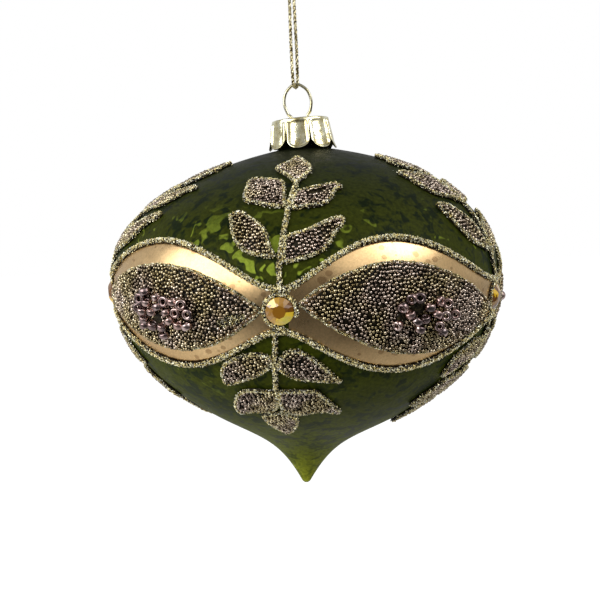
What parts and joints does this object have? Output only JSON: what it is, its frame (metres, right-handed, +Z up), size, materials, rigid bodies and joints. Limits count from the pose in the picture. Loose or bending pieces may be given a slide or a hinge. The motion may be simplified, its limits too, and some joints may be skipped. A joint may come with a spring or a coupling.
{
  "type": "teardrop ornament",
  "caption": "Blown-glass teardrop hanging ornament with beaded almond panels, leaf sprays, gems, a petal cap and a knotted cord loop.",
  "frame": {"origin": "where a hook holds the cord's loop, just under its knot", "axes": "+Z up along the taut cord, -Y the front that the picture shows, +X to its right"},
  "size_m": [0.1041, 0.1054, 0.1377],
  "materials": {
    "lacquered_glass": "satin lacquer, mottled olive green over glass",
    "gold_lacquer": "glossy copper-gold metallic lacquer with brown tarnish",
    "glitter": "fine olive-gold glitter set in glue",
    "microbeads": "metallic bronze glass microbeads set in glue",
    "seed_beads": "metallic mauve-brown glass seed beads",
    "gem": "clear amber facets over a mirrored back",
    "cap_metal": "bright thin stamped metal",
    "wire": "bright drawn wire",
    "cord": "twisted metallic thread"
  },
  "bodies": {
    "loop_knot": {"cord_knot": "cord"},
    "cord": {"hanging_cord": "cord"},
    "hanger": {"hanger_wire": "wire"},
    "cap": {"cap": "cap_metal"},
    "glass": {"glass_body": "lacquered_glass", "upper_piping": "glitter", "lower_piping": "glitter", "gem_1": "gem", "upper_spray_1": "microbeads", "lower_spray_1": "microbeads", "gold_band_1": "gold_lacquer", "bead_field_1": "microbeads", "seed_beads_1": "seed_beads", "gem_2": "gem", "upper_spray_2": "microbeads", "lower_spray_2": "microbeads", "gold_band_2": "gold_lacquer", "bead_field_2": "microbeads", "seed_beads_2": "seed_beads", "gem_3": "gem", "upper_spray_3": "microbeads", "lower_spray_3": "microbeads", "gold_band_3": "gold_lacquer", "bead_field_3": "microbeads", "seed_beads_3": "seed_beads", "gem_4": "gem", "upper_spray_4": "microbeads", "lower_spray_4": "microbeads", "gold_band_4": "gold_lacquer", "bead_field_4": "microbeads", "seed_beads_4": "seed_beads", "gem_5": "gem", "upper_spray_5": "microbeads", "lower_spray_5": "microbeads", "gold_band_5": "gold_lacquer", "bead_field_5": "microbeads", "seed_beads_5": "seed_beads"}
  },
  "joints": [
    {"name": "cord_swing", "type": "hinge", "parent": "loop_knot", "child": "cord", "pos_m": [0, 0, 0], "axis": [0, 1, 0], "range_deg": [-45, 45]},
    {"name": "ring_swing", "type": "hinge", "parent": "cord", "child": "hanger", "pos_m": [0, 0, -0.0225], "axis": [1, 0, 0], "range_deg": [-60, 60]},
    {"name": "hanger_rock", "type": "hinge", "parent": "hanger", "child": "cap", "pos_m": [0.00081, 0, -0.03182], "axis": [0.9986, 0, 0.0523], "range_deg": [-8, 8]},
    {"name": "cap_pull", "type": "slide", "parent": "cap", "child": "glass", "axis": [0.0087, 0, -1], "range_m": [0, 0.02]}
  ]
}
